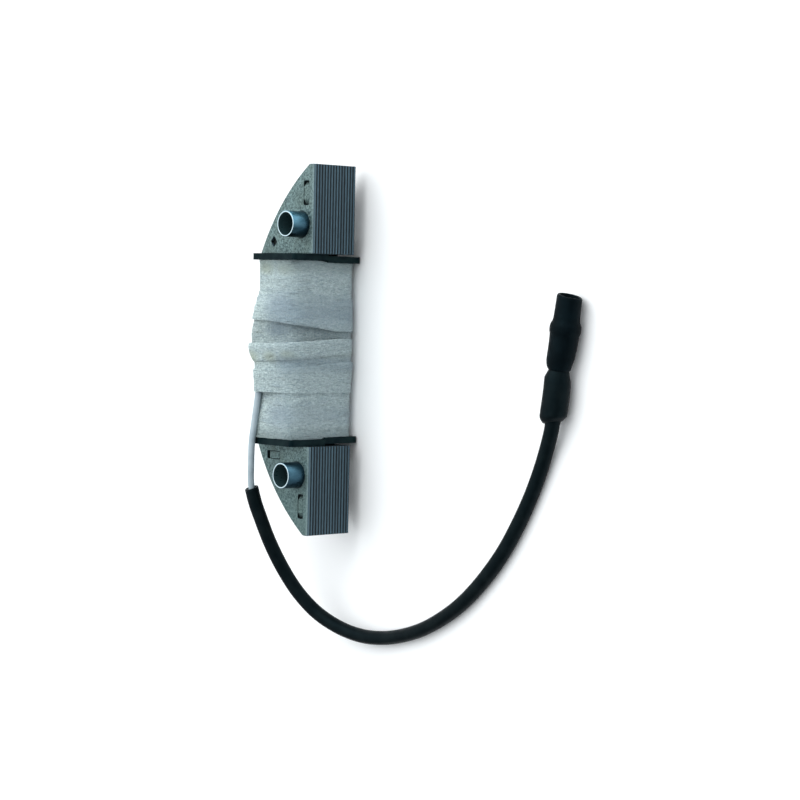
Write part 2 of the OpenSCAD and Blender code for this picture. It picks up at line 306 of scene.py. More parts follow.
def zinc():
    """Zinc plate with a blue passivation: bright at the rims, with painted shade on the side towards the
    lower tip and next to the core, darker on the lower collar, and dark and dull inside the bore.
    """
    f = Finish("zinc_collar", (0.22, 0.36, 0.44), 0.3, 0.95)
    is_rim = f.span(f.math("ABSOLUTE", f.normal_axes()["Z"]), 0.75, 0.97)
    place = f.axes(f.place())
    from_bolt = f.math("SUBTRACT", f.math("ABSOLUTE", place["X"]), BOLT_X)
    in_bore = f.math("LESS_THAN", f.distance(from_bolt, place["Y"]), BORE_RADIUS + 0.04)
    cloud = f.noise(0.5, 3.0, (1.0, 1.0, 0.5))
    plate = f.blend(f.span(cloud, 0.35, 0.65), ZINC_DULL, ZINC_BLUE)
    # Painted shade: the collar darker on its side towards the lower tip
    bolt_place = f.math("MULTIPLY", f.math("SIGN", place["X"]), BOLT_X)
    wall_shade = f.span(f.math("SUBTRACT", place["X"], bolt_place), WALL_SHADE_FROM, WALL_SHADE_TO)
    plate = f.blend(f.math("MULTIPLY", wall_shade, 0.95), plate, ZINC_WALL_SHADE)
    plate = f.blend(f.span(place["Z"], SHADE_FROM, SHADE_TO, 0.0, 0.8), plate, ZINC_SHADED)
    # The lower collar is darker all over
    is_lower = f.math("LESS_THAN", place["X"], 0.0)
    plate = f.blend(f.math("MULTIPLY", is_lower, 0.65), plate, ZINC_LOWER_DARK)
    plate = f.blend(is_rim, plate, ZINC_RIM)
    bore_wall = f.math("MULTIPLY", in_bore, f.math("SUBTRACT", 1.0, is_rim))
    f.colour(f.blend(bore_wall, plate, ZINC_BORE))
    f.feed(f.span(in_bore, 0.0, 1.0, 0.95, 0.15), f.shader.inputs["Metallic"])
    f.roughness(f.span(f.noise(1.6, 3.0, (1.0, 1.0, 0.4)), 0.3, 0.7, 0.24, 0.42))
    f.bump((f.noise(1.2, 2.0), 0.008))
    return f.made


# ---------------------------------------------------------------- cotton tape

WARP_PITCH = 0.42
WEFT_PITCH = 0.5
# The weave's valleys painted darker than its crowns: painted shade
THREAD_VALLEY_SHADE = (0.18, 0.265, 0.265)
THREAD_CROWN = (0.42, 0.54, 0.52)
FLUFF = (0.76, 0.89, 0.85)
DASH = (0.15, 0.225, 0.26)
# Darker along the creases: painted shade
CREASE_SHADE = (0.25, 0.34, 0.40)
VARNISH = (0.36, 0.42, 0.30)
# Painted shade for the hollow and the fold
SHADE_PATCH = (0.185, 0.26, 0.31)
DAMP = (0.27, 0.355, 0.41)
FLANGE_GRIME_AND_SHADE = (0.16, 0.215, 0.20)
SIDE_SHADE = (0.20, 0.275, 0.31)
# |X| in mm where the grime and painted shade by the flanges start and are heaviest, and Y where the painted shade on the straight side does
GRIME_AND_SHADE_FROM = 20.5
GRIME_AND_SHADE_TO = 25.0
SIDE_SHADE_FROM = 10.0
SIDE_SHADE_TO = 1.0
# How much a distance in Y counts in a mark, stain and shade patch alike, and the share of its reach within
# which it is solid
MARK_Y_COUNTS = 0.6
MARK_SOLID = 0.3
# Stains on the tape, and patches of painted shade in the hollow and the fold on the straight side: X, Y and
# reach in mm, and colour
STAINS_AND_SHADE = [
    (-2.4, 12.5, 2.6, VARNISH), (-2.0, 5.0, 2.0, VARNISH), (-1.4, -0.6, 1.8, VARNISH),
    (22.5, 9.5, 2.6, VARNISH), (22.5, 1.5, 2.8, VARNISH), (9.5, 0.0, 5.5, SHADE_PATCH), (-4.0, -0.5, 3.4, SHADE_PATCH),
    (5.5, 4.0, 3.0, SHADE_PATCH), (-18.0, 2.5, 4.4, DAMP), (13.0, 3.0, 4.6, DAMP),
]


def weave_height(f):
    """A plain weave along the tape's own run and width: warp and weft take turns on top."""
    run = f.axes(f.node("UVMap", uv_map="weave").outputs[0])
    wander = f.math("MULTIPLY", f.math("SUBTRACT", f.noise(0.9, 2.0), 0.5), 0.7)
    along = f.math("ADD", run["X"], wander)
    across = f.math("SUBTRACT", run["Y"], wander)
    warp = f.math("SINE", f.math("MULTIPLY", across, math.pi / WARP_PITCH))
    weft = f.math("SINE", f.math("MULTIPLY", along, math.pi / WEFT_PITCH))
    over = f.span(f.math("MULTIPLY", warp, weft), -0.2, 0.2)
    threads = f.node("Mix", data_type="FLOAT")
    f.feed(over, threads.inputs[0])
    f.feed(f.math("ABSOLUTE", weft), threads.inputs[2])
    f.feed(f.math("ABSOLUTE", warp), threads.inputs[3])
    return threads.outputs[0]


def stains_and_shade(f, cloth, tone):
    """The cloth with its stains and patches of painted shade, grime and painted shade by the flanges, and
    painted shade on the straight side, most at a low tone.
    """
    place = f.axes(f.place())
    for x, y, reach, mark_colour in STAINS_AND_SHADE:
        aside = f.math("MULTIPLY", f.math("SUBTRACT", place["Y"], y), MARK_Y_COUNTS)
        away = f.distance(aside, f.math("SUBTRACT", place["X"], x))
        cloth = f.blend(f.span(away, reach, MARK_SOLID * reach, 0.0, 0.6), cloth, mark_colour)
    # Grime and painted shade by the flanges
    near_flange = f.span(f.math("ABSOLUTE", place["X"]), GRIME_AND_SHADE_FROM, GRIME_AND_SHADE_TO, 0.0, 0.85)
    cloth = f.blend(near_flange, cloth, FLANGE_GRIME_AND_SHADE)
    # Painted shade: the tape darker towards the straight side
    shaded_side = f.span(place["Y"], SIDE_SHADE_FROM, SIDE_SHADE_TO, 0.0, 0.36 + 0.4 * (1.0 - tone))
    return f.blend(shaded_side, cloth, SIDE_SHADE)


def cotton_tape(name, tone):
    """Plain-woven cotton tape with varnish soaked in; tone is 1 for the lit tape, and lower for a copy
    darkened all over as painted shade.
    """
    f = Finish(name, (0.5, 0.6, 0.6), 0.9, Sheen_Weight=0.2, Sheen_Roughness=0.5)
    height = weave_height(f)
    fluff = f.noise(2.0, 4.0, (1.5, 0.7, 0.7), 0.72)
    dash = f.noise(1.3, 4.0, (2.2, 0.5, 0.5), 0.72)
    crease = f.noise(0.35, 3.0, (1.8, 0.4, 0.4), 0.6)
    slanting = f.noise(0.5, 3.0, (1.3, 1.0, 0.6), 0.6, turn=math.radians(35.0))
    cloth = f.blend(f.span(height, 0.0, 0.8), THREAD_VALLEY_SHADE, THREAD_CROWN)
    cloth = f.blend(f.span(fluff, 0.42, 0.64, 0.05, 0.8), cloth, FLUFF)
    cloth = f.blend(f.span(dash, 0.50, 0.64, 0.0, 0.62), cloth, DASH)
    cloth = f.blend(f.span(crease, 0.52, 0.72, 0.0, 0.35), cloth, CREASE_SHADE)
    # Painted shade: the whole tape darkened by the tone
    shade = (tone, tone, 1.04 * tone)
    f.colour(f.blend(1.0, stains_and_shade(f, cloth, tone), shade, "MULTIPLY"))
    f.bump((height, 0.12), (fluff, 0.18), (dash, 0.3), (crease, 0.8), (slanting, 0.7))
    return f.made


# ---------------------------------------------------------------- plastics and other metals


def moulded(name, colour, light, roughness, grain, depth):
    """A dark moulded plastic or rubber with a fine grain and a slight bloom."""
    f = Finish(name, colour, roughness, Specular_IOR_Level=0.07,
               Specular_Tint=(0.45, 0.85, 1.0, 1.0))
    f.colour(f.blend(f.span(f.noise(0.3, 4.0), 0.4, 0.75), colour, light))
    f.roughness(f.span(f.noise(0.9, 3.0), 0.3, 0.7, roughness - 0.08, roughness + 0.1))
    f.bump((f.noise(grain, 3.0), depth), (f.noise(0.4, 2.0), depth * 3.0))
    return f.made


def insulation():
    """White PVC on the lead wire, a little grubby."""
    f = Finish("white_insulation", (0.34, 0.42, 0.47), 0.38)
    grubby = f.span(f.noise(0.35, 3.0), 0.4, 0.75)
    f.colour(f.blend(grubby, (0.37, 0.455, 0.50), (0.27, 0.345, 0.39)))
    f.bump((f.noise(0.7, 2.0), 0.04))
    return f.made


def metal(name, colour, dark, roughness):
    """Plain metal with tarnish in patches."""
    f = Finish(name, colour, roughness, 1.0)
    f.colour(f.blend(f.span(f.noise(0.8, 4.0), 0.4, 0.7), colour, dark))
    f.roughness(f.span(f.noise(2.0, 3.0), 0.3, 0.7, roughness - 0.08, roughness + 0.12))
    f.bump((f.noise(2.5, 3.0), 0.03))
    return f.made


FINISHES = {
    "lamination_steel": lamination_steel(),
    "zinc_collar": zinc(),
    "bobbin_black": moulded("bobbin_black", (0.002, 0.007, 0.009), (0.008, 0.020, 0.020), 0.42, 1.2, 0.02),
    "black_vinyl": moulded("black_vinyl", (0.002, 0.004, 0.005), (0.005, 0.008, 0.009), 0.42, 1.8, 0.015),
    "black_rubber": moulded("black_rubber", (0.001, 0.002, 0.003), (0.002, 0.005, 0.007), 0.5, 2.4, 0.02),
    "white_tape": cotton_tape("white_tape", 1.0),
    # A darker copy of the tape: painted shade in the hollow
    "hollow_shade_tape": cotton_tape("hollow_shade_tape", 0.8),
    "white_insulation": insulation(),
    "copper_enamel": metal("copper_enamel", (0.42, 0.13, 0.05), (0.16, 0.05, 0.025), 0.32),
    "solder": metal("solder", (0.07, 0.085, 0.07), (0.015, 0.03, 0.022), 0.5),
    "bare_copper": metal("bare_copper", (0.72, 0.34, 0.18), (0.40, 0.17, 0.09), 0.34),
    "terminal_brass": metal("terminal_brass", (0.62, 0.46, 0.20), (0.36, 0.25, 0.10), 0.3),
}


# ---------------------------------------------------------------- curves and meshes


STEPS_PER_SPAN = 12


def spline(points, step):
    """A smooth curve through the points, resampled evenly at about that step."""
    p = np.asarray(points, float)
    gaps = np.linalg.norm(np.diff(p, axis=0), axis=1)
    at = np.concatenate([[0.0], np.cumsum(gaps)])
    slopes = np.gradient(p, at, axis=0)
    fine = []
    for i, gap in enumerate(gaps):
        t = np.linspace(0.0, 1.0, STEPS_PER_SPAN, endpoint=False)[:, None]
        a = (2 * t**3 - 3 * t**2 + 1) * p[i] + (t**3 - 2 * t**2 + t) * gap * slopes[i]
        b = (3 * t**2 - 2 * t**3) * p[i + 1] + (t**3 - t**2) * gap * slopes[i + 1]
        fine.append(a + b)
    fine = np.concatenate([*fine, p[-1:]])
    run = np.concatenate([[0.0], np.cumsum(np.linalg.norm(np.diff(fine, axis=0), axis=1))])
    count = max(2, round(run[-1] / step) + 1)
    even = np.linspace(0.0, run[-1], count)
    return np.stack([np.interp(even, run, fine[:, k]) for k in range(3)], axis=1)


def frames_along(path):
    """Two directions square to the path at each point, which turn as little as they can."""
    ahead = np.gradient(path, axis=0)
    ahead /= np.linalg.norm(ahead, axis=1)[:, None]
    side = np.cross(ahead[0], (0.0, 0.0, 1.0))
    sides = []
    for way in ahead:
        side = side - way * side.dot(way)
        side = side / np.linalg.norm(side)
        sides.append(side)
    sides = np.array(sides)
    return sides, np.cross(ahead, sides)


def ring_at(place, side, top, radii, angles):
    """A ring of points round place, in the plane of the directions side and top."""
    return place + radii[:, None] * (np.cos(angles)[:, None] * side + np.sin(angles)[:, None] * top)


def make_outward(mesh):
    """Turns the faces out if the closed mesh is inside out."""
    mesh.calc_loop_triangles()
    corner = np.empty(len(mesh.vertices) * 3)
    mesh.vertices.foreach_get("co", corner)
    corner = corner.reshape(-1, 3)
    triangles = np.empty(len(mesh.loop_triangles) * 3, dtype=np.int32)
    mesh.loop_triangles.foreach_get("vertices", triangles)
    a, b, c = (corner[triangles[k::3]] for k in range(3))
    if np.einsum("ij,ij->i", a, np.cross(b, c)).sum() < 0:
        mesh.flip_normals()


def grid_object(name, rings, finish, closed=False, crease=32.0, weave=None):
    """A mesh from rings of points: each ring closes on itself, and the rings close too or end in caps."""
    rings = np.asarray(rings, float)
    rows, columns = rings.shape[:2]
    faces = []
    corners = []
    for i in range(rows if closed else rows - 1):
        for j in range(columns):
            here = i * columns
            there = (i + 1) % rows * columns
            next_j = (j + 1) % columns
            faces.append((here + j, here + next_j, there + next_j, there + j))
            corners.append(((i, j), (i, j + 1), (i + 1, j + 1), (i + 1, j)))
    if not closed:
        faces.append(tuple(reversed(range(columns))))
        faces.append(tuple(range((rows - 1) * columns, rows * columns)))
    mesh = bpy.data.meshes.new(name)
    mesh.from_pydata(rings.reshape(-1, 3).tolist(), [], faces)
    mesh.validate()
    if weave is not None:
        layer = mesh.uv_layers.new(name="weave")
        flat = [weave[i][j] for quad in corners for i, j in quad]
        layer.data.foreach_set("uv", np.asarray(flat, float).reshape(-1))
    mesh.shade_smooth()
    mesh.set_sharp_from_angle(angle=math.radians(crease))
    mesh.materials.append(FINISHES[finish])
    made = bpy.data.objects.new(name, mesh)
    bpy.context.scene.collection.objects.link(made)
    make_outward(mesh)
    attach(made, "root")
    return made


# ---------------------------------------------------------------- the lead

WIRE_DIAMETER = 1.8 * MM
WIRE_SIDES = 20
SLEEVE_DIAMETER = 3.9 * MM
SLEEVE_BORE = 2.6 * MM
SLEEVE_SIDES = 32
# The lead's centre line: from the splice, out of the tape at the second point, to the crimp
LEAD_ROUTE = np.array([
    [4.5, 11, -0.5], [-12, 11, -0.5], [-17, 11.4, -0.1], [-21.5, 11.9, 0.2], [-25.5, 12.5, 0.3],
    [-29.5, 13.1, 0], [-33.5, 13.6, -0.4], [-36.5, 14.2, -0.9], [-39, 14.5, -1.4], [-43, 14.2, -2.5],
    [-47.5, 13.5, -4], [-55, 12.6, -7.1], [-62, 11.3, -10.6], [-68.5, 8.7, -14], [-74, 4.2, -17.2],
    [-77.7, -2.5, -19.9], [-79.3, -10, -21.7], [-79, -18, -22.8], [-77.3, -26, -23.2],
    [-74.7, -33.5, -23.2], [-71.2, -40.5, -23.2], [-66.9, -47.3, -23.2], [-61.8, -53.5, -23.2],
    [-56, -59.3, -23.2], [-50, -64.3, -23.2], [-43.3, -68.8, -23.2], [-36.5, -72.7, -23.2],
    [-29.3, -76.3, -23], [-22, -79.6, -22.4], [-17.5, -81.7, -21.6], [-14, -82.7, -21.1],
    [-10, -83.3, -21.1], [-4, -84.2, -21.1],
]) * MM
WIRE_STEP = 0.9 * MM
# The points of the route where the sleeve starts and ends
SLEEVE_FIRST = 8
SLEEVE_LAST = 31
SLEEVE_STEP = 1.0 * MM
CUT_SLANT = 0.15 * MM
# How uneven the sleeve's radius is, as a share of it, and how many rings the unevenness drifts on over
UNEVEN = 0.02
WOBBLE_RINGS = 9.0
OVAL_RINGS = 14.0
# Rings counted back from the sleeve's last one, and how much it swells there over the crimp, in mm
SWELL_AT = np.array([-8.0, -3.5, -1.0])
SWELL_BY = [0.0, 0.3, 0.3]
# How much of its radius the sleeve's end ring keeps, and how far back the rounding starts
END_KEEPS = 0.94
END_ROUNDING = 0.2


def make_wire():
    """The white insulated wire, from the splice under the tape to the crimp."""
    path = np.concatenate([
        np.linspace(LEAD_ROUTE[0], LEAD_ROUTE[1], 12, endpoint=False),
        spline(LEAD_ROUTE[1:], WIRE_STEP),
    ])
    sides, tops = frames_along(path)
    angles = np.linspace(0, 2 * math.pi, WIRE_SIDES, endpoint=False)
    radii = np.full(WIRE_SIDES, WIRE_DIAMETER / 2)
    rings = [ring_at(p, s, t, radii, angles) for p, s, t in zip(path, sides, tops)]
    return grid_object("lead_wire_visual", rings, "white_insulation", crease=50.0), path


def make_sleeve():
    """The black vinyl sleeve: a tube open round the wire, cut a little askew and swollen at the crimp."""
    path = spline(LEAD_ROUTE[SLEEVE_FIRST:SLEEVE_LAST + 1], SLEEVE_STEP)
    sides, tops = frames_along(path)
    angles = np.linspace(0, 2 * math.pi, SLEEVE_SIDES, endpoint=False)
    bore_radii = np.full(SLEEVE_SIDES, SLEEVE_BORE / 2)
    outer_rings = []
    bore_rings = []
    for k, (place, side, top) in enumerate(zip(path, sides, tops)):
        wobble = np.array([
            UNEVEN * noise.noise(Vector((k / WOBBLE_RINGS, math.cos(a), math.sin(a)))) for a in angles
        ])
        oval = UNEVEN * math.sin(k / OVAL_RINGS) * np.cos(2 * angles)
        swell = float(np.interp(k, SWELL_AT + len(path), SWELL_BY))
        radii = (SLEEVE_DIAMETER / 2 + swell * MM) * (1 + wobble + oval)
        outer_rings.append(ring_at(place, side, top, radii, angles))
        bore_rings.append(ring_at(place, side, top, bore_radii, angles))
    ahead = (path[1] - path[0]) / np.linalg.norm(path[1] - path[0])
    cut = -CUT_SLANT * np.sin(angles)[:, None] * ahead
    outer_rings[0] = outer_rings[0] + cut
    bore_rings[0] = bore_rings[0] + cut
    for at, beside in ((0, 1), (-1, -2)):
        rounded = outer_rings[at] * (1 - END_ROUNDING) + outer_rings[beside] * END_ROUNDING
        outer_rings[at] = path[at] + (outer_rings[at] - path[at]) * END_KEEPS
        outer_rings.insert(1 if at == 0 else len(outer_rings) - 1, rounded)
    rings = np.array(outer_rings + bore_rings[::-1])
    rings[:, :, 2] = np.maximum(rings[:, :, 2], TABLE_Z)
    return grid_object("lead_sleeve_visual", rings, "black_vinyl", closed=True, crease=40.0), path


# ---------------------------------------------------------------- connector boot and crimp cover

MOUTH = np.array([17.0, -87.4, -21.1]) * MM
TO_CORD = np.array([-0.98865, 0.15022, 0.0])
TURNED_SIDES = 56
RING_GAP = 0.8 * MM
# Dents in the rubber: their length in mm, the radius of their loop through the noise, and their depth as
# a share of the part's radius
DENT_LENGTH = 3.2
DENT_LOOP = 1.3
DENT_DEPTH = 0.022
# The angle at which a part is squashed, in radians and doubled
SQUASH_TURN = 0.5
# Turned outlines: distance from the mouth and radius, in mm
BOOT_WALL = [
    (0.6, 2.74), (0.6, 2.97), (0.8, 3.15), (1.2, 3.25), (2.1, 3.24), (3.4, 3.26), (5.0, 3.3), (6.4, 3.36),
    (7.1, 3.48), (7.6, 3.70), (8.1, 3.92), (8.6, 3.99), (9.4, 3.98), (10.0, 3.88), (10.4, 3.74),
    (10.9, 3.68), (12.0, 3.64), (14.4, 3.60), (16.2, 3.54), (17.4, 3.42), (18.2, 3.28), (18.9, 3.08),
    (19.4, 2.85), (19.6, 2.66),
]
BOOT_BORE = [
    (19.6, 1.55), (16.0, 1.5), (13.1, 1.5), (13.0, 1.6), (13.0, 2.4), (12.9, 2.5), (6.0, 2.5),
    (0.85, 2.5), (0.65, 2.6),
]
CRIMP_WALL = [
    (19.62, 2.4), (19.66, 2.58), (19.9, 2.72), (20.4, 2.86), (21.0, 3.08), (21.6, 3.28), (22.4, 3.42),
    (24.5, 3.48), (27.5, 3.5), (30.0, 3.52), (31.2, 3.5), (31.7, 3.38), (32.1, 3.12), (32.5, 2.82),
    (32.8, 2.55), (32.95, 2.35),
]
CRIMP_BORE = [(32.95, 2.15), (31.0, 2.05), (26.0, 1.98), (19.7, 1.98)]
# How far the axis leans aside, and how far each ring is skewed, in mm at each distance from the mouth
LEAN_AT = [0.0, 13.5, 15.5, 17.5, 18.6, 19.7, 20.6, 21.6, 22.6, 24.0, 33.0]
LEAN_BY = [0.0, 0.0, 0.15, 0.4, 0.42, 0.25, 0.36, 0.45, 0.22, 0.05, 0.05]
SKEW_AT = [0.0, 3.0, 29.0, 32.2]
SKEW_BY = [-0.4, 0.0, 0.0, 0.8]


def dense_rings(rings):
    """Adds rings between any two that are over RING_GAP apart."""
    made = []
    for a, b in zip(rings, rings[1:] + rings[:1]):
        made.append(a)
        gap = np.linalg.norm(a.mean(axis=0) - b.mean(axis=0))
        added = int(gap / RING_GAP)
        for k in range(1, added + 1):
            share = k / (added + 1)
            made.append(a * (1 - share) + b * share)
    return made


def make_turned(name, finish, outer, bore, squash, seed):
    """A rubber part turned about the lead's axis: its outline goes out along outer and back along bore."""
    side = np.cross(TO_CORD, (0.0, 0.0, 1.0))
    top = np.cross(TO_CORD, side)
    angles = np.linspace(0, 2 * math.pi, TURNED_SIDES, endpoint=False)

    def ring(station, radii, lean):
        skew = float(np.interp(station, SKEW_AT, SKEW_BY)) * MM * np.cos(angles)[:, None] * TO_CORD
        return ring_at(MOUTH + TO_CORD * station * MM + lean, side, top, radii, angles) + skew

    rings = []
    for station, radius in outer:
        along = station / DENT_LENGTH
        dents = np.array([
            noise.noise(Vector((along, DENT_LOOP * math.cos(a), DENT_LOOP * math.sin(a) + seed)))
            for a in angles
        ])
        radii = radius * MM * (1 + DENT_DEPTH * dents + squash * np.cos(2 * angles + SQUASH_TURN))
        lean = side * float(np.interp(station, LEAN_AT, LEAN_BY)) * MM
        rings.append(ring(station, radii, lean))
    for station, radius in bore:
        rings.append(ring(station, np.full(TURNED_SIDES, radius * MM), 0.0))
    return grid_object(name, dense_rings(rings), finish, closed=True, crease=38.0)


boot = make_turned("connector_boot_visual", "black_rubber", BOOT_WALL, BOOT_BORE, 0.008, 2.0)
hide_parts("connector_boot")
crimp = make_turned("crimp_cover_visual", "black_vinyl", CRIMP_WALL, CRIMP_BORE, -0.012, 7.0)
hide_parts("crimp_cover")

sleeve, sleeve_path = make_sleeve()
wire, wire_path = make_wire()
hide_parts("lead_sleeve")
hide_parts("lead_wire")


# ---------------------------------------------------------------- tape over the winding

# The winding's section in mm, as (Y, Z): centre, half size and corner radius
TAPE_CENTRE = np.array([6.3, -13.0])
TAPE_HALF = np.array([8.75, 11.5])
TAPE_CORNER = 4.0
TAPE_WIDTH = 15.0
TAPE_THICK = 0.26
DOUBLED_THICK = 0.4
ROUND_COUNT = 260
NORMALS = np.linspace(0, 2 * math.pi, 1440, endpoint=False)
TABLE_END = 26.0
TABLE_X = np.arange(-TABLE_END, TABLE_END + 0.01, 0.25)
LEAST_SLANT = 0.15
CURVED_CORNER = math.radians(48.0)
STRAIGHT_CORNER = math.radians(138.0)
STRAIGHT_FACE = math.radians(178.0)


def around_section():
    """Directions from the winding's centre, evenly spaced along its outline, and the run to each."""
    straight = 2 * (TAPE_HALF - TAPE_CORNER)
    arc = TAPE_CORNER * math.pi / 2
    total = 2 * straight.sum() + 4 * arc
    quarters = [
        ((1, -1), (0.0, 1.0), straight[1], 0.0),
        ((1, 1), (-1.0, 0.0), straight[0], 0.5 * math.pi),
        ((-1, 1), (0.0, -1.0), straight[1], math.pi),
        ((-1, -1), (1.0, 0.0), straight[0], 1.5 * math.pi),
    ]
    runs = np.linspace(0, total, ROUND_COUNT, endpoint=False)
    points = []
    for run in runs:
        for corner, way, length, start in quarters:
            hub = (TAPE_HALF - TAPE_CORNER) * np.array(corner)
            if run < length:
                out = np.array([math.cos(start), math.sin(start)])
                points.append(hub + out * TAPE_CORNER + np.array(way) * run)
                break
            run -= length
            if run < arc:
                turn = start + run / TAPE_CORNER
                hub = hub + np.array(way) * length
                points.append(hub + TAPE_CORNER * np.array([math.cos(turn), math.sin(turn)]))
                break
            run -= arc
    points = np.array(points)
    return np.arctan2(points[:, 1], points[:, 0]), np.append(runs, total), total


DIRECTIONS, RUNS, ROUND_LENGTH = around_section()
# 1 towards the front corner on the curved side, and 0 opposite it
CORNER_NEARNESS = 0.5 + 0.5 * np.cos(DIRECTIONS - CURVED_CORNER)
# 1 towards the front corner on the straight side, and 0 on the back half
FACING = np.clip(np.cos(DIRECTIONS - STRAIGHT_CORNER), 0.0, 1.0) ** 0.7
STRAIGHT_SIDE = np.clip(np.cos(DIRECTIONS - STRAIGHT_FACE), 0.0, 1.0) * FACING


def support_of_circle(centre, radius):
    """How far out a circle reaches from the winding's centre, in each direction of NORMALS."""
    away = np.asarray(centre, float) - TAPE_CENTRE
    return np.cos(NORMALS) * away[0] + np.sin(NORMALS) * away[1] + radius


def section_table(lumps):
    """A tape pulled tight round the winding and the lumps on it.

    For each X in TABLE_X and each direction, its radius and the way outwards from it.
    """
    flat = TAPE_HALF - TAPE_CORNER
    plain = np.abs(np.cos(NORMALS)) * flat[0] + np.abs(np.sin(NORMALS)) * flat[1] + TAPE_CORNER
    slant = np.cos(NORMALS[None, :] - DIRECTIONS[:, None])
    slant[slant < LEAST_SLANT] = np.nan
    radii = []
    ways = []
    for x in TABLE_X:
        support = plain
        for lump in lumps(x):
            support = np.maximum(support, support_of_circle(*lump))
        reach = support[None, :] / slant
        best = np.nanargmin(reach, axis=1)
        radii.append(reach[np.arange(len(best)), best])
        ways.append(np.stack([np.cos(NORMALS[best]), np.sin(NORMALS[best])], axis=1))
    return np.array(radii), np.array(ways)


# What lies under the tape, as (Y, Z) in mm and a radius
WIRE_PLACE = (11.0, -0.5)
WIRE_UNDER_TAPE = WIRE_DIAMETER / MM / 2 + 0.12
SPLICE_UNDER_TAPE = 1.12
SPLICE_FROM = 4.5
CORNER_PLACE = (12.0, -2.4)
CORNER_LUMP = 1.06
# Past the splice the lump sinks into the winding
SINK_AT = [12, 17]
SINK_BY = [0, 3.5]
# How much the front corner on the curved side bulges, in mm at each X: under the outer wraps (BULGE),
# and under the turn at the lower flange (LOW) and at the upper flange (HIGH)
BULGE_AT = [-26, -12, -8, -5, -2.5, -1, 1, 2, 4, 6, 8.3, 11, 14, 15.4, 17, 26]
BULGE_BY = [-1, 0.25, 0.35, 0.35, 1.2, 1.75, 1.9, 2.0, 2.1, 1.85, 1.35, 0.8, 0.5, -0.1, -0.4, -1]
LOW_AT = [-26, -24, -18, -12, 26]
LOW_BY = [0.85, 0.8, 0.55, -0.3, -0.6]
HIGH_AT = [-26, 12, 16, 24, 26]
HIGH_BY = [-0.6, -0.6, -0.05, 0.1, 0.1]


def corner_lump(at, by):
    """A bulge of the front corner on the curved side, by so many mm at each X."""
    return lambda x: [(CORNER_PLACE, CORNER_LUMP + float(np.interp(x, at, by)))]


def lead_lumps(x):
    """What bulges the outer wraps: the wire or the splice on the front, and the front corner."""
    y, z = WIRE_PLACE
    sunk = float(np.interp(x, SINK_AT, SINK_BY))
    radius = SPLICE_UNDER_TAPE if x > SPLICE_FROM else WIRE_UNDER_TAPE
    return [((y, z - sunk), radius), *corner_lump(BULGE_AT, BULGE_BY)(x)]


LOW_SECTION = section_table(corner_lump(LOW_AT, LOW_BY))
HIGH_SECTION = section_table(corner_lump(HIGH_AT, HIGH_BY))
LUMPY = section_table(lead_lumps)


def surface_point(table, x, lift, j):
    """The point at X x, lifted off the tight section by lift mm, in the direction numbered j."""
    radii, ways = table
    radius = np.interp(x, TABLE_X, radii[:, j])
    way_y = np.interp(x, TABLE_X, ways[:, j, 0])
    way_z = np.interp(x, TABLE_X, ways[:, j, 1])
    y = TAPE_CENTRE[0] + radius * math.cos(DIRECTIONS[j]) + lift * way_y
    z = TAPE_CENTRE[1] + radius * math.sin(DIRECTIONS[j]) + lift * way_z
    return np.stack([x, y, z], axis=-1)


def curve_through(points, pieces=5):
    """Catmull-Rom through (x, lift) points."""
    p = np.asarray(points, float)
    ended = np.vstack([2 * p[0] - p[1], p, 2 * p[-1] - p[-2]])
    made = []
    for i in range(1, len(ended) - 2):
        a, b, c, d = ended[i - 1:i + 3]
        for t in np.linspace(0, 1, pieces, endpoint=False):
            squared = (2 * a - 5 * b + 4 * c - d) * t**2
            cubed = (3 * b - a - 3 * c + d) * t**3
            made.append(0.5 * (2 * b + (c - a) * t + squared + cubed))
    made.append(p[-1])
    return np.array(made)


# Ruffles in a band: the radius of their loop through the noise, how far the band's edges stray in mm, the
# lengths of a crease and a fold across it in mm, and how much of each there is
RUFFLE_LOOP = 3.2
EDGE_STRAY = 0.1
CREASE_LENGTH = 1.5
CREASE_SHARE = 0.6
FOLD_LENGTH = 4.0
FOLD_SHARE = 0.8


def ruffled(line, j, ruffle, seed):
    """The line across the tape with creases and folds that drift on from one direction to the next."""
    turned = 2 * math.pi * j / ROUND_COUNT
    loop_a = RUFFLE_LOOP * math.cos(turned)
    loop_b = RUFFLE_LOOP * math.sin(turned)
    stray = EDGE_STRAY * noise.noise(Vector((seed, 2.6 * loop_a, 2.6 * loop_b)))
    for k, (x, _) in enumerate(line):
        crease = noise.noise(Vector((x / CREASE_LENGTH, loop_a + seed, loop_b)))
        fold = noise.noise(Vector((x / FOLD_LENGTH + seed, 1.7 * loop_a + x / 6.0, 1.7 * loop_b)))
        line[k, 1] += ruffle * (CREASE_SHARE * crease + FOLD_SHARE * fold)
        line[k, 0] += stray
    return line


